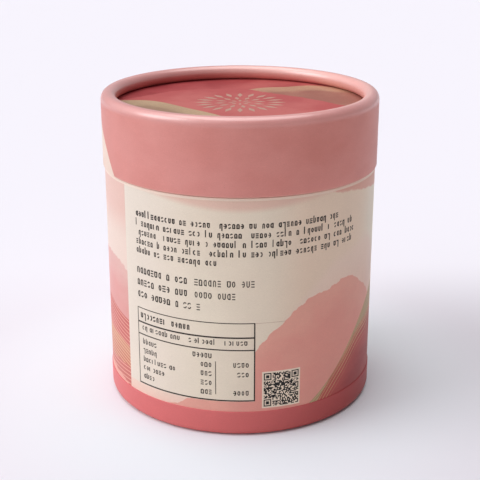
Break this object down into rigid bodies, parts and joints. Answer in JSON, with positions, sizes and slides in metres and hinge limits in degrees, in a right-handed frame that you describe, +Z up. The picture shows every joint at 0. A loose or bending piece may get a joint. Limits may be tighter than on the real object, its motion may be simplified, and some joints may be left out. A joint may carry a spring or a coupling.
{
  "type": "cylindrical gift tube box",
  "caption": "Round paperboard gift tube with a lift-off lid over an inner neck, rolled rims, a recessed top disc and a low rose foot ring.",
  "frame": {"origin": "centre of the foot ring's standing face, on the ground", "axes": "+Z up along the tube's axis, towards the lid; -Y is the front with the label panel, +Y the back where the printed sheets lap; +X is to the right seen from the front"},
  "size_m": [0.0768, 0.077, 0.0875],
  "materials": {
    "rose_board": "rose paper laminated to board, curled, satin matt",
    "plain_board": "spiral wound grey-brown board, raw",
    "body_print": "matt laminated printed sheet in cream, blush and rose",
    "lid_print": "matt laminated pink sheet",
    "disc_print": "matt laminated deep rose sheet",
    "greyboard": "pressed greyboard, raw",
    "white_paper": "uncoated white lining paper",
    "cream_paper": "uncoated cream cover paper"
  },
  "bodies": {
    "box": {"foot_ring": "rose_board", "body_tube": "plain_board", "body_wrap": "body_print", "base_disc": "greyboard", "base_sheet": "white_paper", "floor_sheet": "white_paper", "neck_tube": "plain_board", "neck_cover": "cream_paper", "bore_liner": "white_paper"},
    "lid": {"lid_tube": "plain_board", "lid_wrap": "lid_print", "lid_disc": "greyboard", "lid_print": "disc_print", "lid_lining": "white_paper", "lid_ceiling": "white_paper"}
  },
  "joints": [
    {"name": "lid_lift", "type": "slide", "parent": "box", "child": "lid", "axis": [0, 0, 1], "range_m": [0, 0.045]}
  ]
}
